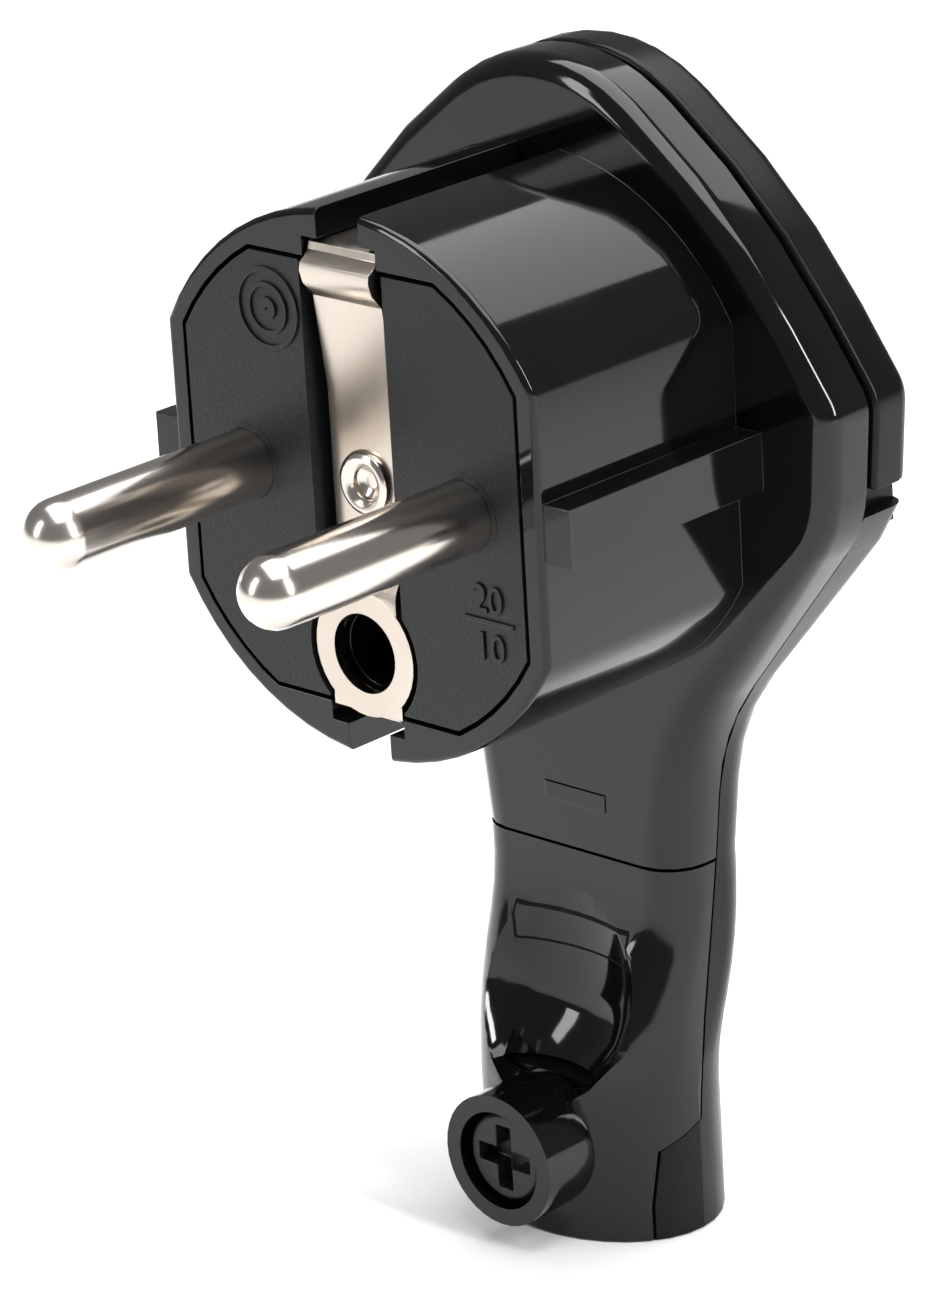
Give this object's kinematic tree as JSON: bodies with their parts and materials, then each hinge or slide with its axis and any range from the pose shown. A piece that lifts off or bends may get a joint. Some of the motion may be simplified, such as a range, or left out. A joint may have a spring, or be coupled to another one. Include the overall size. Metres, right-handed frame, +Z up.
{
  "type": "flat schuko plug",
  "caption": "Flat black mains plug with round pins, earth strap, screwed cord clamp in its stem and a fold-out pull handle behind the flange.",
  "frame": {"origin": "centre of the bounding box in plan, on the surface that the stem's foot stands on", "axes": "+Z up the plug from the cord inlet to the crown, -Y the way the pins point, X across the two pins"},
  "size_m": [0.0474, 0.0464, 0.0811],
  "materials": {
    "shell_gloss": "polished black moulding",
    "shell_semi_gloss": "semi-gloss black moulding",
    "insert_matt": "fine spark-eroded matt black moulding",
    "nickel": "bright nickel plate",
    "brass": "plain machined brass",
    "steel": "zinc-plated steel",
    "black_steel": "matt black oxide"
  },
  "bodies": {
    "plug": {"front_shell": "shell_gloss", "rear_shell": "shell_semi_gloss", "clamp_cover": "shell_gloss", "contact_carrier": "insert_matt", "pin_left": "nickel", "pin_right": "nickel", "earth_strap": "nickel", "strap_rivet": "nickel", "earth_sleeve": "shell_semi_gloss", "earth_spring": "nickel", "earth_terminal": "brass", "earth_terminal_screw": "steel", "terminal_screw_left": "steel", "terminal_screw_right": "steel", "cable_clamp": "steel", "clamp_screw": "black_steel", "clamp_nut": "steel", "shell_screw_left": "steel", "shell_screw_right": "steel"},
    "handle": {"pull_handle": "shell_semi_gloss"}
  },
  "joints": [
    {"name": "handle_fold", "type": "hinge", "parent": "plug", "child": "handle", "pos_m": [0, 0.02025, 0.05595], "axis": [-1, 0, 0], "range_deg": [0, 90]}
  ]
}
